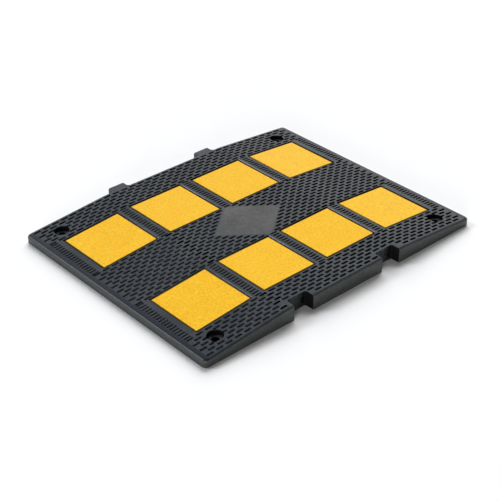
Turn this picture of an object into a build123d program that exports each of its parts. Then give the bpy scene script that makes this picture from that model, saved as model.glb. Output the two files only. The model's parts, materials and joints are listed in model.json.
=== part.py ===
"""Speed bump module: a moulded rubber body with a slotted tread and eight reflective panels.

X runs along the road, the way the traffic crosses the bump, Y runs across the road and Z is up.
The origin is the middle of the underside, on the road. Sizes are in millimetres.
"""

import os
from math import atan2, degrees, hypot, tan

from build123d import *

# Body: a flat crown between two ramps that end in blunt noses
body_length = 600.0
body_width = 470.0
crown_height = 28.0
crown_length = 260.0
nose_height = 14.0  # of the ramp's plane at the body's end
corner_radius = 8.0  # of the four corners, seen from above
edge_radius = 4.0  # of the rounded rim all round the top

# Keys: two tabs on the +Y side, and two notches on the -Y side that take the next module's tabs
key_spacing = 198.0
tab_width = 35.0
tab_reach = 15.0
key_corner_radius = 5.0  # of a tab's tip and a notch's floor
notch_side_clearance = 3.0
notch_end_clearance = 3.0

# Anchor holes, with a seat sunk in the ramp for a bolt head and its washer
anchor_inset_x = 50.0
anchor_inset_y = 35.0
anchor_hole_diameter = 14.0
anchor_head_diameter = 27.0
anchor_seat_height = 10.0

# Reflective panels, bonded into shallow pockets that are a little larger all round
panel_length = 108.5
panel_width = 108.5
panel_thickness = 1.6
panel_gap = 30.5  # from one panel to the next in its row
panel_row_spacing = 233.0
panel_recess = 0.9  # of the panel's face below the tread
pocket_clearance = 2.7

# Tread: short grooves in staggered rows, with a plain rhombic pad left in the middle
groove_length = 13.6
groove_width = 3.4
groove_depth = 2.2
groove_pitch = 18.5
row_pitch = 7.8
tread_margin_x = 10.8
tread_margin_y = 6.5
pad_rows = 7  # from the pad's middle to its tip
pad_shift = -4.5  # of the pad's middle from the body's
frame_strip = 1.5  # least plain rubber between a groove and a pocket or a notch

# Ladders: single columns of grooves beside the panels
ladder_groove_length = 13.5
ladder_pitch = 6.73

# Sizes that follow from the ones above
crown_end = crown_length / 2
body_end = body_length / 2
body_side = body_width / 2
ramp_angle = atan2(crown_height - nose_height, body_end - crown_end)
tab_root = 2 * edge_radius  # of a tab inside the body, past the rounded rim
notch_width = tab_width + 2 * notch_side_clearance
notch_depth = tab_reach + notch_end_clearance
notch_floor = body_side - notch_depth
anchor_x = body_end - anchor_inset_x
anchor_y = body_side - anchor_inset_y
panel_pitch = panel_length + panel_gap
pocket_depth = panel_thickness + panel_recess
pocket_length = panel_length + 2 * pocket_clearance
pocket_width = panel_width + 2 * pocket_clearance
row_y = panel_row_spacing / 2
cut_clearance = 1.0  # by which a cutting shape stands above the surface that it cuts


def on_surface(x, y):
    """The place on the top surface at (x, y), tilted as the surface is there."""
    past_crown = abs(x) - crown_end
    if past_crown <= 0:
        return Location((x, y, crown_height))
    tilt = degrees(ramp_angle) if x > 0 else -degrees(ramp_angle)
    return Location((x, y, crown_height - past_crown * tan(ramp_angle)), (0, tilt, 0))


def near_notch(x, y):
    """Whether a groove centred at (x, y) would come too close to a notch."""
    aside = abs(abs(x) - key_spacing / 2) - (notch_width + groove_length) / 2
    return aside < frame_strip and y - groove_width / 2 < -notch_floor + frame_strip


def in_anchor_seat(x, y):
    """Whether a groove centred at (x, y) would be lost in an anchor hole's seat."""
    return hypot(abs(x) - anchor_x, abs(y) - anchor_y) < anchor_head_diameter / 2


def beside_panels(y):
    """Whether a row of grooves at y would run into the pockets."""
    return abs(abs(y) - row_y) < (pocket_width + groove_width) / 2 + frame_strip


def staggered_grooves():
    """Middles of the staggered grooves. Each row starts half a pitch beside the last one."""
    row_limit = int((body_side - tread_margin_y - groove_width / 2) / row_pitch)
    column_limit = int(body_length / groove_pitch)
    middles = []
    for row in range(-row_limit, row_limit + 1):
        y = row * row_pitch
        if beside_panels(y):
            continue
        for half_step in range(-column_limit, column_limit + 1):
            x = pad_shift + half_step * groove_pitch / 2
            in_step = (half_step - row) % 2 == 1
            in_field = abs(x) + groove_length / 2 < body_end - tread_margin_x
            on_pad = abs(half_step) + abs(row) <= pad_rows
            cut_short = near_notch(x, y) or in_anchor_seat(x, y)
            if in_step and in_field and not on_pad and not cut_short:
                middles.append((x, y))
    return middles


def ladder_grooves():
    """Middles of the grooves in the columns between the panels and outside the last ones."""
    rungs = int((pocket_width + groove_width) / ladder_pitch) + 1
    end_column = body_end - tread_margin_x - ladder_groove_length / 2
    columns = (-end_column, -panel_pitch, 0.0, panel_pitch, end_column)
    steps = [(rung - (rungs - 1) / 2) * ladder_pitch for rung in range(rungs)]
    return [(x, side * row_y + step) for x in columns for side in (-1, 1) for step in steps]


def groove_cutter(length):
    """A V-shaped bar that cuts one groove, with its middle on the surface."""
    half_top = groove_width / 2 * (groove_depth + cut_clearance) / groove_depth
    with BuildPart() as cutter:
        with BuildSketch(Plane.YZ):
            with BuildLine():
                Polyline(
                    (0, -groove_depth),
                    (half_top, cut_clearance),
                    (-half_top, cut_clearance),
                    close=True,
                )
            make_face()
        extrude(amount=length / 2, both=True)
    return cutter.part


panel_columns = [(step - 1.5) * panel_pitch for step in range(4)]
panel_places = {
    f"reflective_panel_{row_name}_{column + 1}": on_surface(x, y)
    for row_name, y in (("front", -row_y), ("rear", row_y))
    for column, x in enumerate(panel_columns)
}
key_places = [(-key_spacing / 2, 0), (key_spacing / 2, 0)]

# Rubber body
with BuildPart() as rubber_body:
    with BuildSketch(Plane.XZ):
        with BuildLine():
            Polyline(
                (-body_end, 0),
                (-body_end, nose_height),
                (-crown_end, crown_height),
                (crown_end, crown_height),
                (body_end, nose_height),
                (body_end, 0),
                close=True,
            )
        make_face()
    extrude(amount=body_side, both=True)
    fillet(rubber_body.edges().filter_by(Axis.Z), corner_radius)
    top = rubber_body.faces().filter_by(lambda f: f.normal_at(f.center()).Z > 0.5)
    sides = rubber_body.faces().filter_by(lambda f: abs(f.normal_at(f.center()).Z) < 0.5)
    fillet(top.edges() & sides.edges(), edge_radius)

    with BuildSketch() as tabs:
        with Locations((0, body_side + tab_reach)):
            with Locations(*key_places):
                Rectangle(tab_width, tab_reach + tab_root, align=(Align.CENTER, Align.MAX))
        fillet(tabs.vertices().group_by(Axis.Y)[-1], key_corner_radius)
    extrude(amount=crown_height)

    with BuildSketch() as notches:
        with Locations((0, -body_side - cut_clearance)):
            with Locations(*key_places):
                Rectangle(notch_width, notch_depth + cut_clearance, align=(Align.CENTER, Align.MIN))
        fillet(notches.vertices().group_by(Axis.Y)[-1], key_corner_radius)
    extrude(amount=crown_height, mode=Mode.SUBTRACT)

    for place in panel_places.values():
        with BuildSketch(Plane(place).offset(-pocket_depth)):
            Rectangle(pocket_length, pocket_width)
        extrude(amount=pocket_depth + cut_clearance, mode=Mode.SUBTRACT)

    with Locations(*[on_surface(x, y) for x, y in staggered_grooves()]):
        add(groove_cutter(groove_length), mode=Mode.SUBTRACT)
    with Locations(*[on_surface(x, y) for x, y in ladder_grooves()]):
        add(groove_cutter(ladder_groove_length), mode=Mode.SUBTRACT)

    with Locations((0, 0, crown_height)):
        with GridLocations(2 * anchor_x, 2 * anchor_y, 2, 2):
            CounterBoreHole(
                radius=anchor_hole_diameter / 2,
                counter_bore_radius=anchor_head_diameter / 2,
                counter_bore_depth=crown_height - anchor_seat_height,
            )

os.makedirs("parts", exist_ok=True)
rubber_body.part.label = "rubber_body"
export_step(rubber_body.part, "parts/rubber_body.step")

# Reflective panels, each lying on the floor of its pocket
for panel_name, place in panel_places.items():
    with BuildPart() as panel:
        with BuildSketch(Plane(place).offset(-pocket_depth)):
            Rectangle(panel_length, panel_width)
        extrude(amount=panel_thickness)
    panel.part.label = panel_name
    export_step(panel.part, f"parts/{panel_name}.step")
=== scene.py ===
# %% [markdown]
# # A rubber speed bump module
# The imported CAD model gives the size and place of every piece, and this lesson gives them their looks.
# Lengths are in metres. X runs along the road, the way the traffic crosses the bump, Y runs across the
# road and Z is up, with the road at zero.

# %% Load the frame
import json
import math

import bmesh
import bpy
from mathutils import Matrix, Vector

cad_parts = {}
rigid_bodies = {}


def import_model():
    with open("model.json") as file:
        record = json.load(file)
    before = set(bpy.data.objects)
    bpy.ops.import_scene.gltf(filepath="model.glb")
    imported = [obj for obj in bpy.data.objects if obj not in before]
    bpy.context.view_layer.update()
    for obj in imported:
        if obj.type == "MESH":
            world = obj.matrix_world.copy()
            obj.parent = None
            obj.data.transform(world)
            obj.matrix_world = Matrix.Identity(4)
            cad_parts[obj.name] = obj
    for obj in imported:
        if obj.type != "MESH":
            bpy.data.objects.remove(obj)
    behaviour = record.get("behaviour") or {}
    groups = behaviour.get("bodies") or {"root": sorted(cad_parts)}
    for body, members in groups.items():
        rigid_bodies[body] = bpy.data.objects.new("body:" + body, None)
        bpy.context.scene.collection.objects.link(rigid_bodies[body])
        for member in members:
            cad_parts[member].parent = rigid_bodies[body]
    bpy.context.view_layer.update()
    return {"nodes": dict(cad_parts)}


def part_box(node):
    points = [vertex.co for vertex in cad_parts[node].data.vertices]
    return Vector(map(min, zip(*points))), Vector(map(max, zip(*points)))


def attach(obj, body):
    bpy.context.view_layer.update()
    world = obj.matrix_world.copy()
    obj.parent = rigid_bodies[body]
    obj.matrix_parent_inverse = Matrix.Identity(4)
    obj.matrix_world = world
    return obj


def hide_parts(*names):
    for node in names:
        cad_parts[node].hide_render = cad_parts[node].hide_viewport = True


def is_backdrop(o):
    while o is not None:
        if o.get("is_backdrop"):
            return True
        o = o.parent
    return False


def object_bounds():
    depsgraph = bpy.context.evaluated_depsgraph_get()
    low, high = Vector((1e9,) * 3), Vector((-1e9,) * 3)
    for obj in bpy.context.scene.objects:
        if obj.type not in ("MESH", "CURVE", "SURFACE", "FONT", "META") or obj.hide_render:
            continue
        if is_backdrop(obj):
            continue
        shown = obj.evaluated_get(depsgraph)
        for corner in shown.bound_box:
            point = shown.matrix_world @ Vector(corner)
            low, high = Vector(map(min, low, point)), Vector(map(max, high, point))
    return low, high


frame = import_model()
print("nodes:", ", ".join(sorted(frame["nodes"])))

# %% [markdown]
# ## The body's shape
# The body is one rubber moulding: a flat crown, two shallow ramps, blunt noses, two tabs on the far side
# and two notches on the near side. The overall sizes are read from the frame. The others are the
# moulding's own, and they are written here once.

# %% Sizes of the body
mm = 0.001
slack = 0.1 * mm  # for tests of where a point lies
body_low, body_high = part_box("rubber_body")
body_end = body_high.x
body_side = -body_low.y
crown_height = body_high.z
tab_reach = body_high.y - body_side
crown_end = 130 * mm
nose_height = 14 * mm
corner_radius = 8 * mm
edge_radius = 4 * mm  # of the rim along the sides
nose_radius = 4.4 * mm  # of the rim along the noses
foot_radius = 0.8 * mm
key_radius = 4 * mm  # of the upright corners of tabs and notches
notch_lip = 0.8 * mm
crease_blend = 6 * mm  # each side of the line where crown and ramp meet
key_x = 99 * mm
tab_width = 35 * mm
notch_width = 41 * mm
notch_depth = 18 * mm
ramp_slope = (crown_height - nose_height) / (body_end - crown_end)
print("body:", round(2 * body_end, 3), "by", round(2 * body_side, 3), "m, ramps at",
      round(math.degrees(math.atan(ramp_slope)), 1), "degrees")


# %% The lie of the top surface
def top_fall(x):
    """How far the top lies below the crown at x, and its slope there, with the crease eased."""
    past = abs(x) - crown_end + crease_blend
    if past <= 0:
        return 0.0, 0.0
    if past < 2 * crease_blend:
        return ramp_slope * past**2 / (4 * crease_blend), ramp_slope * past / (2 * crease_blend)
    return ramp_slope * (past - crease_blend), ramp_slope


def on_top(x, y):
    """A place on the top surface, turned so that its own Z stands square to the rubber."""
    fall, slope = top_fall(x)
    tilt = math.copysign(math.atan(slope), x)
    return Matrix.Translation((x, y, crown_height - fall)) @ Matrix.Rotation(tilt, 4, "Y")


print("fall to the nose:", round(top_fall(body_end)[0] / mm, 1), "mm")

# %% [markdown]
# ## The lie of the tread
# Before anything is cut, the tread is laid out on the plan. The panels' boxes in the frame give the two
# rows of pockets. The rest of the top is filled with short grooves that run with the traffic, one behind
# the other in rows, and each row is shifted by half a pitch against its neighbours. Beside the panels
# the rows give way to ladders, single columns of slimmer grooves that lie side by side and closer
# together. A plain rhombic pad is left in the middle of the crown.

# %% Where the panels lie
pocket_clearance = 2.7 * mm
panel_nodes = sorted(name for name in frame["nodes"] if name.startswith("reflective_panel"))
panel_middles = {}
for name in panel_nodes:
    low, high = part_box(name)
    panel_middles[name] = (low + high) / 2
level_low, level_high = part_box("reflective_panel_front_2")
panel_size = level_high - level_low
pocket_half = panel_size.xy / 2 + Vector((pocket_clearance, pocket_clearance))
panel_row_y = abs(panel_middles["reflective_panel_front_2"].y)
panel_pitch = panel_middles["reflective_panel_front_3"].x - panel_middles["reflective_panel_front_2"].x
print("panels:", len(panel_nodes), "at a pitch of", round(panel_pitch / mm, 1), "mm")

# %% Where the staggered grooves lie
groove_length = 13.6 * mm
groove_width = 3.4 * mm  # that the layout reckons with, while the tools cut wider
groove_pitch = 18.5 * mm
row_pitch = 7.8 * mm
tread_margin_x = 10.8 * mm
tread_margin_y = 6.5 * mm
pad_rows = 7  # from the pad's middle to its tip
pad_shift = -4.5 * mm  # of the pad's middle from the body's
frame_strip = 1.5 * mm  # that the layout keeps between a groove and a pocket or a notch
anchor_x = 250 * mm
anchor_y = 200 * mm
seat_radius = 13.5 * mm
row_limit = int((body_side - tread_margin_y - groove_width / 2) / row_pitch)
column_limit = int(2 * body_end / groove_pitch)


def left_out(x, y):
    """Whether a groove centred at (x, y) would meet a row of pockets, a notch or a bolt seat."""
    near_pocket = abs(abs(y) - panel_row_y) < pocket_half.y + groove_width / 2 + frame_strip
    beside_notch = abs(abs(x) - key_x) - (notch_width + groove_length) / 2 < frame_strip
    near_notch = beside_notch and y - groove_width / 2 < notch_depth - body_side + frame_strip
    near_seat = math.hypot(abs(x) - anchor_x, abs(y) - anchor_y) < seat_radius
    return near_pocket or near_notch or near_seat


def staggered_middles():
    """Middles of the grooves in the staggered rows."""
    for row in range(-row_limit, row_limit + 1):
        for half_step in range(-column_limit, column_limit + 1):
            x, y = pad_shift + half_step * groove_pitch / 2, row * row_pitch
            in_step = (half_step - row) % 2 == 1
            in_field = abs(x) + groove_length / 2 < body_end - tread_margin_x
            on_pad = abs(half_step) + abs(row) <= pad_rows
            if in_step and in_field and not on_pad and not left_out(x, y):
                yield x, y


staggered = list(staggered_middles())
print("staggered grooves:", len(staggered))

# %% Where the ladders lie
ladder_length = 13.5 * mm
ladder_pitch = 6.73 * mm
end_column = body_end - tread_margin_x - ladder_length / 2
ladder_columns = (-end_column, -panel_pitch, 0, panel_pitch, end_column)
rungs = int((2 * pocket_half.y + groove_width) / ladder_pitch) + 1
ladders = [(x, side * panel_row_y + (rung - (rungs - 1) / 2) * ladder_pitch)
           for x in ladder_columns for side in (-1, 1) for rung in range(rungs)]
print("ladder grooves:", len(ladders))

# %% [markdown]
# ## Moulding the plain body
# A box model would do for the outline, but the tabs and notches have to keep their soft edges too. So
# the plan is drawn once as a face, pulled up to the crown's height, and cut by two planes that leave
# the ramps. Bevels then round it, one set of edges after the other: the crease, the four upright
# corners, the corners of the tabs and notches, the rim, the lips of the notches and last the foot. The
# noses of the real moulding are rounder than its sides. A second bevel there would meet the first one
# badly at the corners, so a few rings are cut near the ends and lowered to a larger radius.

# %% Draw the plan and pull it up
def plan_outline():
    """Corners of the body seen from above, counter-clockwise from the near left one."""
    near = [(-body_end, -body_side)]
    far = [(body_end, body_side)]
    for x in (-key_x, key_x):
        near += [(x - notch_width / 2, -body_side), (x - notch_width / 2, notch_depth - body_side),
                 (x + notch_width / 2, notch_depth - body_side), (x + notch_width / 2, -body_side)]
        far += [(-x + tab_width / 2, body_side), (-x + tab_width / 2, body_side + tab_reach),
                (-x - tab_width / 2, body_side + tab_reach), (-x - tab_width / 2, body_side)]
    return near + [(body_end, -body_side)] + far + [(-body_end, body_side)]


def everything(bm):
    """All the points, edges and faces of a bmesh."""
    return bm.verts[:] + bm.edges[:] + bm.faces[:]


def slab_with_ramps():
    """The plan pulled up to the crown, with the ramps cut at both ends."""
    bm = bmesh.new()
    plan = bm.faces.new([bm.verts.new((x, y, 0)) for x, y in plan_outline()])
    pulled = bmesh.ops.extrude_face_region(bm, geom=[plan])["geom"]
    risen = [v for v in pulled if isinstance(v, bmesh.types.BMVert)]
    bmesh.ops.translate(bm, verts=risen, vec=(0, 0, crown_height))
    bmesh.ops.recalc_face_normals(bm, faces=bm.faces)
    for side in (-1, 1):
        sliced = bmesh.ops.bisect_plane(
            bm, geom=everything(bm), clear_outer=True,
            plane_co=(side * crown_end, 0, crown_height), plane_no=(side * ramp_slope, 0, 1))
        opening = [e for e in sliced["geom_cut"] if isinstance(e, bmesh.types.BMEdge)]
        bmesh.ops.contextual_create(bm, geom=opening)
    bmesh.ops.recalc_face_normals(bm, faces=bm.faces)
    return bm


body_bm = slab_with_ramps()
print("slab:", len(body_bm.faces), "faces")

# %% Tell its edges apart
level_enough = 0.9  # least part of a normal along Z for a face that looks up or down
upright_enough = 0.1  # most of a normal along Z for a wall of a notch


def is_upright(edge):
    """Whether an edge runs straight up."""
    low, high = edge.verts
    return abs(low.co.x - high.co.x) + abs(low.co.y - high.co.y) < slack


def faces_up(face):
    """Whether a face belongs to the top."""
    return face.normal.z > level_enough


def faces_down(face):
    """Whether a face belongs to the underside."""
    return face.normal.z < -level_enough


def borders(edge, test):
    """Whether just one of an edge's faces passes a test."""
    return sum(test(f) for f in edge.link_faces) == 1


def is_notch_wall(face):
    """Whether a face is one of the walls of a notch."""
    x, y, _ = face.calc_center_median()
    across = abs(abs(x) - key_x) < notch_width / 2 + slack
    along = slack < y + body_side < notch_depth + slack
    return across and along and abs(face.normal.z) < upright_enough


print("upright edges:", sum(is_upright(e) for e in body_bm.edges))


# %% Round them
def round_edges(bm, edges, radius, segments):
    """Rolls the chosen edges to a radius."""
    bmesh.ops.bevel(bm, geom=edges, affect="EDGES", offset=radius, segments=segments,
                    profile=0.5, material=-1, clamp_overlap=False)
    bm.normal_update()


crease = [e for e in body_bm.edges if all(faces_up(f) for f in e.link_faces)]
round_edges(body_bm, crease, crease_blend, segments=6)
corners = [e for e in body_bm.edges if is_upright(e) and abs(e.verts[0].co.x) > body_end - slack]
round_edges(body_bm, corners, corner_radius, segments=8)
keys = [e for e in body_bm.edges if is_upright(e) and abs(e.verts[0].co.x) < crown_end
        and e.verts[0].co.y > slack - body_side]
round_edges(body_bm, keys, key_radius, segments=6)
rim = [e for e in body_bm.edges if borders(e, faces_up) and not borders(e, is_notch_wall)]
round_edges(body_bm, rim, edge_radius, segments=6)
lips = [e for e in body_bm.edges if borders(e, is_notch_wall)
        and not any(faces_down(f) for f in e.link_faces)]
round_edges(body_bm, lips, notch_lip, segments=3)
foot = [e for e in body_bm.edges if borders(e, faces_down)]
round_edges(body_bm, foot, foot_radius, segments=2)
print("rounded body:", len(body_bm.faces), "faces")

# %% Roll the noses
nose_rings = 4
nose_ring_step = 0.4 * mm


def rim_fall(past, radius):
    """How far a rolled edge has fallen at a distance past its start."""
    return radius - math.sqrt(max(0.0, radius**2 - past**2))


def roll_noses(bm):
    """Lowers the ends until the rim there follows a larger radius than along the sides."""
    start = body_end - nose_radius
    for ring in range(nose_rings):
        for side in (-1, 1):
            point = (side * (start + ring * nose_ring_step), 0, 0)
            bmesh.ops.bisect_plane(bm, geom=everything(bm), plane_co=point, plane_no=(1, 0, 0))
    for v in bm.verts:
        past = abs(v.co.x) - start
        if past > 0:
            ramp = nose_height + ramp_slope * (nose_radius - past)
            made = ramp - rim_fall(max(0.0, past - nose_radius + edge_radius), edge_radius)
            v.co.z *= (ramp - rim_fall(past, nose_radius)) / made
    bm.normal_update()


roll_noses(body_bm)
print("body with rolled noses:", len(body_bm.faces), "faces")

# %% [markdown]
# ## Scoring the top
# About a thousand grooves will be cut in the top. A face with a hole in it has to be patched together
# from odd pieces, but a face with a notch in its side stays one clean polygon. So the broad faces are
# first scored along the rows, through the middle of every groove to come, and down the ladders and the
# panels. Two more lines through each notch give its back wall points of its own, so that painted shade
# can darken the wall from one to the next, towards its corners.

# %% Score the top
flush = 0.9999  # least cosine between a face of the top and the top's own lie
notch_painted_shade = (-13 * mm, 2 * mm)  # from a notch's middle, where painted shade starts to darken its back wall


def is_broad(face):
    """Whether a face belongs to the top itself and not to the rounded rim."""
    middle = face.calc_center_median()
    slope = top_fall(middle.x)[1]
    lie = Vector((math.copysign(slope, middle.x), 0, 1)).normalized()
    return faces_up(face) and lie.dot(face.normal) >= flush


def score_top(bm):
    """Divides the notches' walls, and the broad faces along every row and down every ladder and panel."""
    # lines on the notches' back walls, between which painted shade darkens them
    for x in [side * key_x + step for side in (-1, 1) for step in notch_painted_shade]:
        bmesh.ops.bisect_plane(bm, geom=everything(bm), plane_co=(x, 0, 0), plane_no=(1, 0, 0))
    lines = [((0, row * row_pitch, 0), (0, 1, 0)) for row in range(-row_limit, row_limit + 1)]
    lines += [((x, 0, 0), (1, 0, 0)) for x in ladder_columns]
    lines += [((middle.x, 0, 0), (1, 0, 0)) for middle in panel_middles.values()]
    for point, direction in lines:
        broad = [f for f in bm.faces if is_broad(f)]
        edges = dict.fromkeys(e for f in broad for e in f.edges)
        verts = dict.fromkeys(v for f in broad for v in f.verts)
        bmesh.ops.bisect_plane(bm, geom=[*verts, *edges, *broad], plane_co=point, plane_no=direction)


score_top(body_bm)
print("scored body:", len(body_bm.faces), "faces")


# %% Make it an object
def new_piece(name, bm):
    """A mesh object made from a bmesh, that rides on the part."""
    mesh = bpy.data.meshes.new(name)
    bm.to_mesh(mesh)
    bm.free()
    piece = bpy.data.objects.new(name, mesh)
    bpy.context.scene.collection.objects.link(piece)
    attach(piece, "root")
    return piece


rubber_moulding = new_piece("rubber_moulding", body_bm)
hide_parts("rubber_body")
print("moulding:", len(rubber_moulding.data.vertices), "points")

# %% [markdown]
# ## Tools that cut the rubber
# Grooves and bolt seats are hollows with a softly rolled lip, because no mould has a knife edge. A bevel
# after the cut would have to find its way round a thousand openings. It is simpler to give each cutting
# tool a flared mouth: a small face is pulled up ring by ring, and it widens as it rises, so that the
# boolean leaves the lip behind.

# %% The profile of a flared mouth
lip_overshoot = 0.02 * mm  # of the flare above the top
lip_flare = 0.4  # steepness of the mouth above the top
lip_half_way = 0.28  # part of a lip's depth at which its middle ring lies
clear_of_top = 2 * mm  # of a finished tool above the top


def wall_profile(depth, wall_angle, lip_radius):
    """How far a wall stands outside its sharp edge at a depth, with a lip rolled over the edge."""
    reach = lip_radius * math.tan(wall_angle / 2)
    if depth >= reach * math.sin(wall_angle):
        return -depth / math.tan(wall_angle)
    rolled = math.sqrt(lip_radius**2 - (lip_radius - max(depth, 0))**2)
    return reach - rolled + max(-depth, 0) / lip_flare


def lip_depths(wall_angle, lip_radius):
    """Depths of a lip's rings: the end of the wall, half way round, and a little above the top."""
    wall_end = lip_radius * math.tan(wall_angle / 2) * math.sin(wall_angle)
    return [wall_end, lip_half_way * wall_end, -lip_overshoot]


print("rings of a 1 mm lip:", [round(depth / mm, 2) for depth in lip_depths(math.pi / 2, mm)], "mm down")


# %% A tool that starts from a rectangle
def tool_floor(half_x, half_y, depth, corner):
    """The floor that a tool starts from: a rectangle with its corners cut."""
    bm = bmesh.new()
    bmesh.ops.create_grid(bm, x_segments=1, y_segments=1, size=1)
    bmesh.ops.scale(bm, vec=(half_x, half_y, 1), verts=bm.verts)
    bmesh.ops.bevel(bm, geom=bm.verts[:], affect="VERTICES", offset=corner, segments=1,
                    profile=0.5, material=-1)
    bmesh.ops.translate(bm, vec=(0, 0, -depth), verts=bm.verts)
    return bm


def pull_up(bm, mouth):
    """Pulls a tool's mouth into a new ring, and returns the new mouth."""
    pulled = bmesh.ops.extrude_face_region(bm, geom=[mouth, *mouth.edges])["geom"]
    return next(g for g in pulled if isinstance(g, bmesh.types.BMFace))


def raise_mouth(bm, mouth, rise, wider=0.0):
    """Pulls a tool's mouth up and widens it on the way, by as much at each side."""
    mouth = pull_up(bm, mouth)
    for v in mouth.verts:
        v.co += Vector((math.copysign(wider, v.co.x), math.copysign(wider, v.co.y), rise))
    return mouth


# %% Cutting with a set of tools
def tool_set(tool, places):
    """One mesh that holds a copy of the tool at every place."""
    one = bpy.data.meshes.new("tool")
    tool.to_mesh(one)
    tool.free()
    tools = bmesh.new()
    for place in places:
        copy = one.copy()
        copy.transform(place)
        tools.from_mesh(copy)
        bpy.data.meshes.remove(copy)
    bpy.data.meshes.remove(one)
    return tools


def cut(piece, tools):
    """Cuts a set of tools out of a piece."""
    mesh = bpy.data.meshes.new("tools")
    tools.to_mesh(mesh)
    tools.free()
    cutter = bpy.data.objects.new("tools", mesh)
    bpy.context.scene.collection.objects.link(cutter)
    boolean = piece.modifiers.new("cut", "BOOLEAN")
    boolean.operation = "DIFFERENCE"
    boolean.solver = "MANIFOLD"
    boolean.object = cutter
    bpy.context.view_layer.objects.active = piece
    bpy.ops.object.modifier_apply(modifier=boolean.name)
    bpy.data.objects.remove(cutter)
    bpy.data.meshes.remove(mesh)
    print("after the cut:", len(piece.data.polygons), "faces")


# %% [markdown]
# ## Pockets for the panels
# Each panel lies in a shallow pocket that is a little larger than the panel all round, which draws the
# dark line about it. The pocket's mouth has a flat chamfer that catches the light, so its tool needs no
# rolled lip, only a slanted ring. The pockets are placed from the panels' boxes in the frame, so the two
# can't part.

# %% Cut the pockets
pocket_depth = 2.5 * mm
pocket_chamfer = 0.7 * mm
pocket_ease = 0.8 * mm  # by which the rubber has shrunk back from the panel's pocket
pocket_corner = 1.2 * mm


def panel_place(name):
    """Where a panel's pocket lies on the top."""
    middle = panel_middles[name]
    return on_top(middle.x, middle.y)


def pocket_tool():
    """A tool with upright walls and a flat chamfer round its mouth."""
    bm = tool_floor(pocket_half.x + pocket_ease, pocket_half.y + pocket_ease, pocket_depth, pocket_corner)
    mouth = raise_mouth(bm, bm.faces[:][0], pocket_depth - pocket_chamfer)
    slant = pocket_chamfer + lip_overshoot
    mouth = raise_mouth(bm, mouth, slant, slant)
    raise_mouth(bm, mouth, clear_of_top)
    bmesh.ops.recalc_face_normals(bm, faces=bm.faces)
    return bm


cut(rubber_moulding, tool_set(pocket_tool(), [panel_place(name) for name in panel_nodes]))

# %% [markdown]
# ## Grooves
# A groove is a slot with steep walls. They draw in slightly on the way down, so that the rubber lets go
# of its mould. Two tools serve for all of them, one for the rows and a slimmer one for the ladders.

# %% Cut the grooves
groove_depth = 3.2 * mm
groove_mouth = 4.5 * mm  # width at the top
ladder_mouth = 3.6 * mm
groove_draft = 0.35 * mm  # by which each wall draws in on the way to the floor
groove_lip = 0.25 * mm
groove_corner = 0.3 * mm


def groove_tool(length, width):
    """The tool for one steep-walled groove of that length and width at the top."""
    bm = tool_floor(length / 2 - groove_draft, width / 2 - groove_draft, groove_depth, groove_corner)
    mouth = bm.faces[:][0]
    wall_angle = math.atan2(groove_depth, groove_draft)
    at, outside = groove_depth, -groove_draft
    for to in lip_depths(wall_angle, groove_lip):
        further = wall_profile(to, wall_angle, groove_lip)
        mouth = raise_mouth(bm, mouth, at - to, further - outside)
        at, outside = to, further
    raise_mouth(bm, mouth, clear_of_top)
    bmesh.ops.recalc_face_normals(bm, faces=bm.faces)
    return bm


row_tool = groove_tool(groove_length, groove_mouth)
cut(rubber_moulding, tool_set(row_tool, [on_top(x, y) for x, y in staggered]))
ladder_tool = groove_tool(ladder_length, ladder_mouth)
cut(rubber_moulding, tool_set(ladder_tool, [on_top(x, y) for x, y in ladders]))

# %% [markdown]
# ## Anchor holes
# Near each corner a bolt hole goes down through the ramp, with a wide seat for the bolt's head. The hole
# stands upright while the ramp leans, so the tool's flared mouth is sheared to follow the ramp.

# %% Cut the seats and holes
seat_height = 10 * mm
hole_radius = 7 * mm
seat_lip = 0.4 * mm
hole_lip = 0.4 * mm
seat_segments = 48
hole_segments = 32
anchor_places = [Matrix.Translation((x, y, 0)) for x in (-anchor_x, anchor_x) for y in (-anchor_y, anchor_y)]


def round_tool(radius, low, high, lip, segments, lean=0.0):
    """A tool for a round hollow from low up to a top at high, which leans with the ramp."""
    bm = bmesh.new()
    made = bmesh.ops.create_circle(bm, cap_ends=True, segments=segments, radius=radius)
    bmesh.ops.translate(bm, vec=(0, 0, low), verts=made["verts"])
    mouth = bm.faces[:][0]
    at, wide = low, radius
    rings = [(high - depth, radius + wall_profile(depth, math.pi / 2, lip))
             for depth in lip_depths(math.pi / 2, lip)]
    for to, wider in rings + [(high + clear_of_top, rings[-1][1])]:
        mouth = pull_up(bm, mouth)
        bmesh.ops.scale(bm, vec=(wider / wide, wider / wide, 1), verts=mouth.verts)
        bmesh.ops.translate(bm, vec=(0, 0, to - at), verts=mouth.verts)
        at, wide = to, wider
    for v in bm.verts:
        if v.co.z > low + lip:
            v.co.z -= lean * v.co.x
    bmesh.ops.recalc_face_normals(bm, faces=bm.faces)
    return bm


ramp_height = crown_height - top_fall(anchor_x)[0]
for side in (-1, 1):
    seat = round_tool(seat_radius, seat_height, ramp_height, seat_lip, seat_segments, lean=side * ramp_slope)
    cut(rubber_moulding, tool_set(seat, [p for p in anchor_places if p.translation.x * side > 0]))
hole = round_tool(hole_radius, -clear_of_top, seat_height, hole_lip, hole_segments)
cut(rubber_moulding, tool_set(hole, anchor_places))

# %% [markdown]
# ## Shading the moulding
# The flat lands have to stay flat while the lips roll smoothly into them. Plain smooth shading would
# tilt the lands at every groove. A Weighted Normal modifier lets the larger face decide, so the lands
# keep their own direction and the small lip faces bend to meet them.

# %% Smooth the lips and keep the lands flat
crisp_angle = math.radians(40)
land_weight = 100  # how far the larger face decides


def shade(piece):
    """Smooth shading that keeps flat faces flat and hard edges hard."""
    piece.data.shade_smooth()
    piece.data.set_sharp_from_angle(angle=crisp_angle)
    weighted = piece.modifiers.new("weighted normals", "WEIGHTED_NORMAL")
    weighted.keep_sharp = True
    weighted.weight = land_weight


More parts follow.
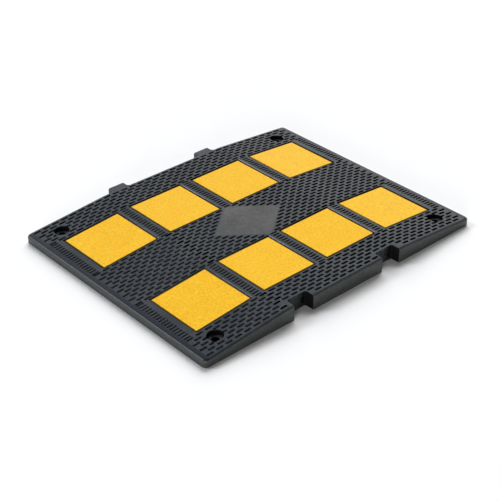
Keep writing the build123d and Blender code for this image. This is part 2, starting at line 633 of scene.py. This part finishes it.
shade(rubber_moulding)
print("moulding:", len(rubber_moulding.data.polygons), "faces")

# %% [markdown]
# ## Reflective panels
# The panels are thin plates of yellow reflective sheet, bonded to the floors of their pockets. A plain
# plate would look stamped from steel. A softened edge and slightly rounded corners catch the light as
# the real, die-cut sheet does, and the sheet laps a little past its plate. Every point keeps its own
# place on the plate in an attribute, so that the finish can gather some grime along the border.

# %% Build the panels
panel_corner = 0.8 * mm
panel_edge = 0.35 * mm
panel_lap = 0.5 * mm  # by which the sheet stands past its plate
panel_recess = pocket_depth - panel_size.z


def panel_plate():
    """One plate, with its face on Z = 0."""
    bm = bmesh.new()
    sheet_size = panel_size + 2 * Vector((panel_lap, panel_lap, 0))
    bmesh.ops.create_cube(bm, size=1, matrix=Matrix.Diagonal((*sheet_size, 1)))
    bmesh.ops.translate(bm, vec=(0, 0, -panel_size.z / 2), verts=bm.verts)
    round_edges(bm, [e for e in bm.edges if is_upright(e)], panel_corner, segments=3)
    round_edges(bm, [e for e in bm.edges if borders(e, faces_up)], panel_edge, segments=3)
    own_place = bm.verts.layers.float_vector.new("own_place")
    for v in bm.verts:
        v[own_place] = v.co
    return bm


panels = []
for name in panel_nodes:
    plate = panel_plate()
    bmesh.ops.transform(plate, verts=plate.verts,
                        matrix=panel_place(name) @ Matrix.Translation((0, 0, -panel_recess)))
    panel = new_piece(name.replace("panel", "sheet"), plate)
    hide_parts(name)
    shade(panel)
    panels.append(panel)
print("panels:", len(panels), "of", [round(s / mm, 1) for s in panel_size], "mm")

# %% [markdown]
# ## Marks on the rubber
# The moulding is pressed from rubber crumb: nearly black, dull and slightly uneven in sheen. Wear has
# greyed the lands of the tread in patches, and painted sheen lightens them along the road. The margins
# at the ends are darker and the sides lighter, painted shade turns the hollows and the notches' cheeks
# black, and painted light lies as pale dust in some grooves and on the bolt seats' floors. Colour by
# slope alone would miss the groove floors, which face up too. So every point of the mesh is first
# marked with its depth below the top, either in a hollow or down a side, and with whether painted light
# may go there. The finishes read those marks.

# %% Mark the depth and the dust
seat_margin = 0.5 * mm  # round a bolt seat, for its lip
sunk_most = 3.2  # millimetres, the deepest mark in a hollow


def by_notch(x, y, margin):
    """Whether a point lies in a notch, or no further from it than the margin."""
    across = abs(abs(x) - key_x) < notch_width / 2 + margin
    return across and y + body_side < notch_depth + margin


def in_notch_painted_shade(x, y):
    """Whether a point lies on a cheek of a notch, or in a corner at its back, which painted shade turns
    black.
    """
    aside = abs(abs(x) - key_x) > notch_width / 2 - key_radius - slack
    return aside and by_notch(x, y, slack) and y + body_side > notch_lip / 2


def on_rim(x, y):
    """Whether a point lies on the rounded rim or outside it."""
    at_end = abs(x) > body_end - nose_radius - slack
    at_side = abs(y) > body_side - edge_radius - slack
    return at_end or at_side or by_notch(x, y, notch_lip + slack)


def in_seat(x, y):
    """Whether a point lies in a bolt seat."""
    return math.hypot(abs(x) - anchor_x, abs(y) - anchor_y) < seat_radius + seat_margin


def mark_points(piece):
    """Marks every point with its depth in millimetres, in a hollow or down a side, and whether it takes
    painted light.
    """
    sunk, side, takes_painted_light = [piece.data.attributes.new(name, "FLOAT", "POINT").data
                         for name in ("sunk", "side", "takes_painted_light")]
    for vertex, sunk_mark, side_mark, painted_light_mark in zip(piece.data.vertices, sunk, side, takes_painted_light):
        x, y, z = vertex.co
        depth = max(0.0, crown_height - top_fall(x)[0] - z) / mm
        seat_floor = in_seat(x, y) and z < seat_height + slack
        # the notches' cheeks count as hollows, so painted shade turns them black
        plain = seat_floor or (on_rim(x, y) and not in_notch_painted_shade(x, y))
        side_mark.value = depth if plain else 0.0
        sunk_mark.value = 0.0 if plain else min(depth, sunk_most)
        # where painted light, as pale dust, may go: the lands' hollows and the floors of the bolt seats
        painted_light_mark.value = float(seat_floor or not (on_rim(x, y) or in_seat(x, y)))


mark_points(rubber_moulding)
hollow_marks = rubber_moulding.data.attributes["sunk"].data
print("points in hollows:", sum(point.value > slack / mm for point in hollow_marks))


# %% Helpers for materials
def new_material(name):
    """A node material, its tree and its shader."""
    material = bpy.data.materials.new(name)
    material.use_nodes = True
    return material, material.node_tree, material.node_tree.nodes["Principled BSDF"]


def add_node(tree, kind, inputs, **settings):
    """Adds a node. An input takes a number, a colour or another node's output."""
    node = tree.nodes.new(kind)
    for key, value in settings.items():
        setattr(node, key, value)
    for key, value in inputs.items():
        if isinstance(value, bpy.types.NodeSocket):
            tree.links.new(value, node.inputs[key])
        else:
            node.inputs[key].default_value = value
    return node


def object_place(tree):
    """Where a point lies on the piece."""
    return add_node(tree, "ShaderNodeTexCoord", {}).outputs["Object"]


def axes_of(tree, vector):
    """The X, Y and Z of a vector."""
    return add_node(tree, "ShaderNodeSeparateXYZ", {"Vector": vector}).outputs


def mark(tree, name, output="Fac"):
    """Reads a mark from the mesh."""
    return add_node(tree, "ShaderNodeAttribute", {}, attribute_name=name).outputs[output]


def noise(tree, place, scale, detail):
    """Cloudy noise, from 0 to 1."""
    inputs = {"Vector": place, "Scale": scale, "Detail": detail}
    return add_node(tree, "ShaderNodeTexNoise", inputs).outputs["Fac"]


def spread(tree, value, low, high, from_low=0.0, from_high=1.0):
    """Maps a value from one range to another, and no further."""
    inputs = {"Value": value, "From Min": from_low, "From Max": from_high, "To Min": low, "To Max": high}
    return add_node(tree, "ShaderNodeMapRange", inputs).outputs["Result"]


def maths(tree, operation, first, second=0.0):
    """One step of arithmetic on two numbers."""
    return add_node(tree, "ShaderNodeMath", {0: first, 1: second}, operation=operation).outputs["Value"]


def product(tree, first, *others):
    """All the numbers multiplied."""
    for other in others:
        first = maths(tree, "MULTIPLY", first, other)
    return first


def mix(tree, factor, first, second, blend="MIX"):
    """Goes from the first colour to the second, or to a blend of the two, as the factor rises."""
    colours = {0: factor, 6: first, 7: second}
    return add_node(tree, "ShaderNodeMix", colours, data_type="RGBA", blend_type=blend).outputs[2]


def roughen(tree, shader, height, distance, strength):
    """Raises a fine relief on a surface."""
    inputs = {"Height": height, "Distance": distance, "Strength": strength}
    tree.links.new(add_node(tree, "ShaderNodeBump", inputs).outputs["Normal"], shader.inputs["Normal"])


# %% [markdown]
# ## Rubber
# Two finishes share the moulding. The first is what is seen from above and from the sides: grey lands,
# worn in patches and lit by painted sheen that grows along the road from a darker, bluish grey at -X,
# with a paler pad, flecks of crumb and darker margins at the ends. The second is painted shade, a matt
# black inside the hollows. One finish could do both, but a gloss that suits the lands would fill the
# grooves with pale reflections, and each finish keeps one level of gloss all over. Painted light lies
# as pale dust on the ramp at -X, and more so on its near side.

# %% Colours and grain of the rubber
# painted shade in the hollows
painted_shade_black = (0.004, 0.004, 0.005, 1)
# painted light, as pale dust, on the groove walls of the -X ramp and on the seat floors
painted_light_dust = (0.15, 0.16, 0.17, 1)
rubber_side = (0.034, 0.038, 0.036, 1)
rubber_margin = (0.007, 0.010, 0.016, 1)
# the lands' grey at the -X end, darker and bluish with painted shade
rubber_grey_shaded = (0.015, 0.021, 0.030, 1)
# the lands' worn grey, which painted sheen also reaches towards +X
rubber_worn_and_lit = (0.067, 0.070, 0.073, 1)
rubber_fleck = (0.11, 0.11, 0.11, 1)
pad_grey = (0.058, 0.057, 0.056, 1)
pad_worn = (0.090, 0.088, 0.083, 1)
pad_half = Vector((74, 58)) * mm  # of the pad's diagonals
pad_border = 0.03  # softness of the pad's outline, as a part of its size
patch_scale = 18  # of the patterns, per metre
mottle_scale = 150
fleck_scale = 420
crumb_scale = 620
grain_scale = 1300
noise_range = (0.3, 0.7)  # that most values of a noise lie in
grain_height = 0.2 * mm
grain_strength = 0.3
print("crumbs:", round(1000 / crumb_scale, 1), "mm wide")


# %% Where the tread is plain
def pad_mask(tree, place):
    """Is 1 on the plain pad and 0 off it."""
    axes = axes_of(tree, place)
    along = maths(tree, "ABSOLUTE", maths(tree, "SUBTRACT", axes["X"], pad_shift))
    across = maths(tree, "ABSOLUTE", axes["Y"])
    share_x = maths(tree, "DIVIDE", along, pad_half.x)
    share_y = maths(tree, "DIVIDE", across, pad_half.y)
    return spread(tree, maths(tree, "ADD", share_x, share_y), 1, 0, 1 - pad_border, 1 + pad_border)


def tread_mask(tree, place):
    """Is 1 along the tread and 0 on the plain margins at the ends."""
    aside = maths(tree, "ABSOLUTE", axes_of(tree, place)["X"])
    return spread(tree, aside, 1, 0, body_end - tread_margin_x, body_end - tread_margin_x + mm)


# %% The finish of lands and sides
lip_fade = (0.05, 0.4)  # millimetres down a hollow, over which the worn grey ends
rim_fade = (0.3, 2)  # millimetres down a side, over which it ends
painted_shade_depth = (0.2, 0.8)  # millimetres down a hollow, over which painted shade turns the rubber black
side_depth = (0.5, 2.5)  # millimetres down a side, over which the margin's colour turns to the side's
painted_sheen_along = 0.6  # painted sheen that lightens the lands from one end to the other
wear_in_patches = 0.4
pad_range = (0.35, 0.65)  # of the noise, over which the pad goes from grey to worn
fleck_range = (0.69, 0.74)  # of the noise, over which a fleck begins
fleck_strength = 0.4
seat_painted_light = 0.35  # of painted light, as pale dust, on the floors of the bolt seats
tone_range = (0.75, 1.25)
rubber_roughness = 0.38
worn_roughness = (0.08, 0.2)  # that wear adds
lip_polish = 0.18  # that a rolled lip takes off
polish_depth = (0.02, 0.12)  # millimetres down a lip
rubber_gloss = 0.4


def land_colour(tree, place, worn):
    """The lands' grey, worn in patches and lit along the road by painted sheen, the pad's own grey and the
    flecks.
    """
    patches = noise(tree, place, patch_scale, detail=5)
    along = axes_of(tree, place)["X"]
    # painted sheen along the road, and wear in patches
    wear_and_sheen = maths(tree, "ADD", spread(tree, along, 0, painted_sheen_along, -body_end, body_end),
                 spread(tree, patches, 0, wear_in_patches, *noise_range))
    grey = mix(tree, wear_and_sheen, rubber_grey_shaded, rubber_worn_and_lit)
    pad = mix(tree, spread(tree, patches, 0, 1, *pad_range), pad_grey, pad_worn)
    grey = mix(tree, product(tree, pad_mask(tree, place), worn), grey, pad)
    flecks = spread(tree, noise(tree, place, fleck_scale, detail=2), 0, fleck_strength, *fleck_range)
    return mix(tree, flecks, grey, rubber_fleck)


def plain_colour(tree, sunk, aside):
    """Dark margins, lighter sides, painted light on seat floors and painted shade blackening hollow lips."""
    down = spread(tree, aside, 0, 1, *side_depth)
    plain = mix(tree, down, rubber_margin, rubber_side)
    # painted light, as pale dust, on the floors of the bolt seats
    plain = mix(tree, product(tree, mark(tree, "takes_painted_light"), down, seat_painted_light), plain, painted_light_dust)
    # painted shade: the rubber turns black down the hollows
    return mix(tree, spread(tree, sunk, 0, 1, *painted_shade_depth), plain, painted_shade_black)


def rubber_finish():
    """Dull rubber crumb, grey on the lands with wear and painted sheen, nearly black elsewhere with painted
    shade.
    """
    material, tree, shader = new_material("moulded_rubber")
    place = object_place(tree)
    sunk = mark(tree, "sunk")
    aside = mark(tree, "side")
    worn = product(tree, spread(tree, sunk, 1, 0, *lip_fade), spread(tree, aside, 1, 0, *rim_fade),
                   tread_mask(tree, place))
    colour = mix(tree, worn, plain_colour(tree, sunk, aside), land_colour(tree, place, worn))
    mottle = noise(tree, place, mottle_scale, detail=4)
    crumb = add_node(tree, "ShaderNodeTexVoronoi", {"Vector": place, "Scale": crumb_scale})
    tone = product(tree, spread(tree, crumb.outputs["Color"], *tone_range),
                   spread(tree, mottle, *tone_range, *noise_range))
    tree.links.new(mix(tree, 1.0, colour, tone, blend="MULTIPLY"), shader.inputs["Base Color"])
    dull = product(tree, worn, spread(tree, mottle, *worn_roughness, *noise_range))
    polish = spread(tree, sunk, 0, lip_polish, *polish_depth)
    roughness = maths(tree, "SUBTRACT", maths(tree, "ADD", dull, rubber_roughness), polish)
    tree.links.new(roughness, shader.inputs["Roughness"])
    shader.inputs["Specular IOR Level"].default_value = rubber_gloss
    roughen(tree, shader, noise(tree, place, grain_scale, detail=3), grain_height, grain_strength)
    return material


# %% The finish of the hollows: painted shade
painted_light_along = (-body_end / 2, crown_end)  # along the road, from full painted light to none
painted_light_far = 0.3  # part of the painted light that is left at the far side
painted_light_patches = (0.5, 1)
painted_light_depth = (0.5, 2.5)  # millimetres down a hollow, over which the painted light gets thinner
painted_light_deep = 0.6  # part of it that is left at the floor
hollow_roughness = (0.7, 0.9)
hollow_gloss = 0.1


def painted_shade_finish():
    """Painted shade, matt black, in grooves, pockets, seats and notches, with painted light as pale dust."""
    material, tree, shader = new_material("painted_shade_hollow")
    place = object_place(tree)
    axes = axes_of(tree, place)
    # painted light, as pale dust: most at the -X end and the near side, less down a hollow
    painted_light = product(tree, spread(tree, axes["X"], 1, 0, *painted_light_along),
                   spread(tree, axes["Y"], 1, painted_light_far, 0, body_side),
                   spread(tree, noise(tree, place, mottle_scale, detail=4), *painted_light_patches, *noise_range),
                   spread(tree, mark(tree, "sunk"), 1, painted_light_deep, *painted_light_depth),
                   spread(tree, mark(tree, "side"), 1, 0), mark(tree, "takes_painted_light"))
    tree.links.new(mix(tree, painted_light, painted_shade_black, painted_light_dust), shader.inputs["Base Color"])
    roughness = spread(tree, noise(tree, place, fleck_scale, detail=2), *hollow_roughness)
    tree.links.new(roughness, shader.inputs["Roughness"])
    shader.inputs["Specular IOR Level"].default_value = hollow_gloss
    roughen(tree, shader, noise(tree, place, grain_scale, detail=3), grain_height, grain_strength)
    return material


# %% Give the moulding its finishes
below_lip = 0.1  # millimetres, least depth of the highest point of a hollow's face
hollow_reach = 0.95  # millimetres, least depth of its lowest point
seat_wall_lean = 0.3  # most of a normal along Z for a wall of a bolt seat


def is_seat_wall(face):
    """Whether a face is part of the wall of a bolt seat or its hole."""
    x, y, _ = face.center
    return in_seat(x, y) and abs(face.normal.z) < seat_wall_lean


def paint_shade_in_hollows(piece):
    """Gives the painted-shade finish to faces wholly below the top in a hollow, and to the seats' walls."""
    sunk = piece.data.attributes["sunk"].data
    for face in piece.data.polygons:
        depths = [sunk[v].value for v in face.vertices]
        in_hollow = max(depths) > hollow_reach and min(depths) > below_lip
        # these faces take the painted-shade finish, matt black
        if in_hollow or is_seat_wall(face):
            face.material_index = 1


rubber_moulding.data.materials.clear()
rubber_moulding.data.materials.append(rubber_finish())
rubber_moulding.data.materials.append(painted_shade_finish())
paint_shade_in_hollows(rubber_moulding)
print("faces in hollows:", sum(face.material_index for face in rubber_moulding.data.polygons))

# %% [markdown]
# ## Reflective sheet
# The sheet is a warm yellow with tiny glass beads under a clear face, so from close by it has a fine
# grain of lighter and darker points. It is cloudy here and there, and its border is darkened, partly
# road dirt that the pocket's wall keeps and partly painted shade from that wall. A texture on Object
# coordinates doesn't know where a sheet ends, so the border is found from each point's own place on its
# plate.

# %% The sheet's finish
sheet_yellow = (0.93, 0.500, 0.012, 1)
sheet_pale = (0.95, 0.555, 0.032, 1)
# dirt and painted shade along the border
sheet_grime_and_shade = (0.10, 0.045, 0.006, 1)
grime_and_shade_reach = 2.2 * mm
grime_and_shade_power = 2.0  # how closely the dirt and painted shade keep to the border
grime_and_shade_patches = (0.5, 1)
cloud_scale = 34  # of the patterns, per metre
speckle_scale = 260
bead_scale = 1100
bead_tone = (1.07, 0.88)  # from the middle of a bead to its edge
speckle_tone = (0.87, 1.13)
bead_height = 0.05 * mm
bead_strength = 0.25
sheet_roughness = (0.36, 0.5)
sheet_gloss = 0.16


def border_mask(tree):
    """Rises from 0 to 1 towards the border of a plate."""
    axes = axes_of(tree, mark(tree, "own_place", "Vector"))
    sides = []
    for axis, size in (("X", panel_size.x), ("Y", panel_size.y)):
        border = size / 2 + panel_lap
        aside = maths(tree, "ABSOLUTE", axes[axis])
        sides.append(spread(tree, aside, 0, 1, border - grime_and_shade_reach, border))
    return maths(tree, "POWER", maths(tree, "MAXIMUM", *sides), grime_and_shade_power)


def sheet_finish():
    """Yellow reflective sheet with a beaded grain and a border darkened by dirt and painted shade."""
    material, tree, shader = new_material("reflective_sheet")
    place = object_place(tree)
    clouds = noise(tree, place, cloud_scale, detail=5)
    colour = mix(tree, spread(tree, clouds, 0, 1, *noise_range), sheet_yellow, sheet_pale)
    patches = spread(tree, noise(tree, place, mottle_scale, detail=4), *grime_and_shade_patches, *noise_range)
    # dirt and painted shade along the border, in patches
    colour = mix(tree, product(tree, border_mask(tree), patches), colour, sheet_grime_and_shade)
    beads = add_node(tree, "ShaderNodeTexVoronoi", {"Vector": place, "Scale": bead_scale}).outputs["Distance"]
    speckle = spread(tree, noise(tree, place, speckle_scale, detail=3), *speckle_tone, *noise_range)
    tone = product(tree, spread(tree, beads, *bead_tone), speckle)
    tree.links.new(mix(tree, 1.0, colour, tone, blend="MULTIPLY"), shader.inputs["Base Color"])
    tree.links.new(spread(tree, clouds, *sheet_roughness, *noise_range), shader.inputs["Roughness"])
    shader.inputs["Specular IOR Level"].default_value = sheet_gloss
    roughen(tree, shader, beads, bead_height, bead_strength)
    return material


sheet_material = sheet_finish()
for panel in panels:
    panel.data.materials.append(sheet_material)
print("sheets:", len(panels), "share one finish of", len(sheet_material.node_tree.nodes), "nodes")

# %% [markdown]
# ## Floor, light and camera
# The floor is plain white and runs past the view. Most of the light comes from a wide, soft lamp far
# behind the object, so that the shadow falls towards the camera and dies out softly. That lamp is kept
# out of reflections, because its glare would pale the rubber. A smaller lamp at the side draws a bright
# line along the near nose, and a low one in front lifts the faces that look at the camera. The rest is
# a dim even sky. Gloss sees a brighter backdrop in its place, and the camera sees plain white.

# %% The floor
floor_size = 8.0
floor_colour = (0.98, 0.98, 0.98, 1)
floor_roughness = 0.9


def pale_floor():
    """A wide plain floor."""
    bm = bmesh.new()
    bmesh.ops.create_grid(bm, x_segments=1, y_segments=1, size=floor_size / 2)
    mesh = bpy.data.meshes.new("floor")
    bm.to_mesh(mesh)
    bm.free()
    floor = bpy.data.objects.new("floor", mesh)
    bpy.context.scene.collection.objects.link(floor)
    floor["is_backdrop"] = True
    material, _, shader = new_material("pale_floor")
    shader.inputs["Base Color"].default_value = floor_colour
    shader.inputs["Roughness"].default_value = floor_roughness
    shader.inputs["Specular IOR Level"].default_value = 0.0
    mesh.materials.append(material)


pale_floor()
print("floor:", floor_size, "m wide")

# %% The sky
sky_light = 0.1  # strength of the even sky
sky_white = (1, 1, 1, 1)
sky_blue = (0.76, 0.92, 1.15, 1)
blue_rise = (0.4, 0.7)  # of a direction's Z, over which the backdrop turns blue
backdrop_low = 1.5  # its strength low down
backdrop_high = 0.15  # and high up
backdrop_rise = (0.38, 0.72)  # of a direction's Z, over which it darkens from low to high
backdrop_front = 0.25  # part of it that is left in front
backdrop_turn = (-0.3, 0.4)  # of a direction's Y, from front to back


def choose(tree, factor, first, second):
    """Goes from the first number to the second as the factor rises."""
    return add_node(tree, "ShaderNodeMix", {0: factor, 2: first, 3: second}, data_type="FLOAT").outputs[0]


def studio_sky():
    """A dim even sky for light. What the gloss sees is white low down behind, and dimmer elsewhere."""
    world = bpy.data.worlds.new("studio")
    bpy.context.scene.world = world
    world.use_nodes = True
    tree = world.node_tree
    background = tree.nodes["Background"]
    axes = axes_of(tree, add_node(tree, "ShaderNodeTexCoord", {}).outputs["Generated"])
    backdrop = product(tree, spread(tree, axes["Z"], backdrop_low, backdrop_high, *backdrop_rise),
                       spread(tree, axes["Y"], backdrop_front, 1, *backdrop_turn))
    path = add_node(tree, "ShaderNodeLightPath", {}).outputs
    seen = maths(tree, "MAXIMUM", path["Is Glossy Ray"], path["Is Transmission Ray"])
    blue = product(tree, spread(tree, axes["Z"], 0, 1, *blue_rise), seen)
    strength = choose(tree, path["Is Camera Ray"], choose(tree, seen, sky_light, backdrop), 1.0)
    tree.links.new(mix(tree, blue, sky_white, sky_blue), background.inputs["Color"])
    tree.links.new(strength, background.inputs["Strength"])


studio_sky()
print("sky:", sky_light, "of the floor's brightness")

# %% The lamps
cool_white = (0.94, 0.98, 1.06)


def soft_lamp(name, azimuth, elevation, spread_angle, share):
    """A wide lamp far away, that gives a level white floor the share of its brightness."""
    light = bpy.data.lights.new(name, "SUN")
    light.angle = math.radians(spread_angle)
    light.energy = math.pi * share / math.sin(math.radians(elevation))
    lamp = bpy.data.objects.new(name, light)
    bpy.context.scene.collection.objects.link(lamp)
    lamp.rotation_euler = (0, math.radians(90 - elevation), math.radians(azimuth))
    return lamp


back_lamp = soft_lamp("back_lamp", azimuth=45, elevation=36, spread_angle=54, share=0.71)
back_lamp.visible_glossy = False
side_lamp = soft_lamp("side_lamp", azimuth=128, elevation=38, spread_angle=14, share=0.17)
side_lamp.data.color = cool_white
front_lamp = soft_lamp("front_lamp", azimuth=214, elevation=7, spread_angle=12, share=0.057)
print("lamps:", ", ".join(lamp.name for lamp in (back_lamp, side_lamp, front_lamp)))

# %% The camera
aim = Vector((-64.9, -72.3, 28)) * mm
distance = 1972.6 * mm
azimuth = math.radians(-41.945)
elevation = math.radians(32.844)
roll = math.radians(-0.21)
lens = 86.6  # millimetres
sensor_width = 36  # millimetres


def photograph_camera():
    """A long lens at the photograph's viewing angle."""
    back = Vector((math.sin(azimuth) * math.cos(elevation), -math.cos(azimuth) * math.cos(elevation),
                   math.sin(elevation)))
    level = Vector((0, 0, 1)).cross(back).normalized()
    up = back.cross(level)
    right = math.cos(roll) * level + math.sin(roll) * up
    data = bpy.data.cameras.new("camera")
    data.lens = lens
    data.sensor_width = sensor_width
    camera = bpy.data.objects.new("camera", data)
    bpy.context.scene.collection.objects.link(camera)
    turn = Matrix((right, back.cross(right), back)).transposed().to_4x4()
    camera.matrix_world = Matrix.Translation(aim + distance * back) @ turn
    bpy.context.scene.camera = camera


photograph_camera()
bpy.context.scene.view_settings.view_transform = "Standard"
print("camera:", round(distance, 2), "m away")

# %% [markdown]
# ## Size of the scene
# The lesson changes looks and small edges, and never the object's size. So the box of the finished scene
# is printed, where anyone can compare it with the CAD model's.

# %% Sizes
low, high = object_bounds()
print("visual box:", [round(v, 4) for v in (*low, *high)])
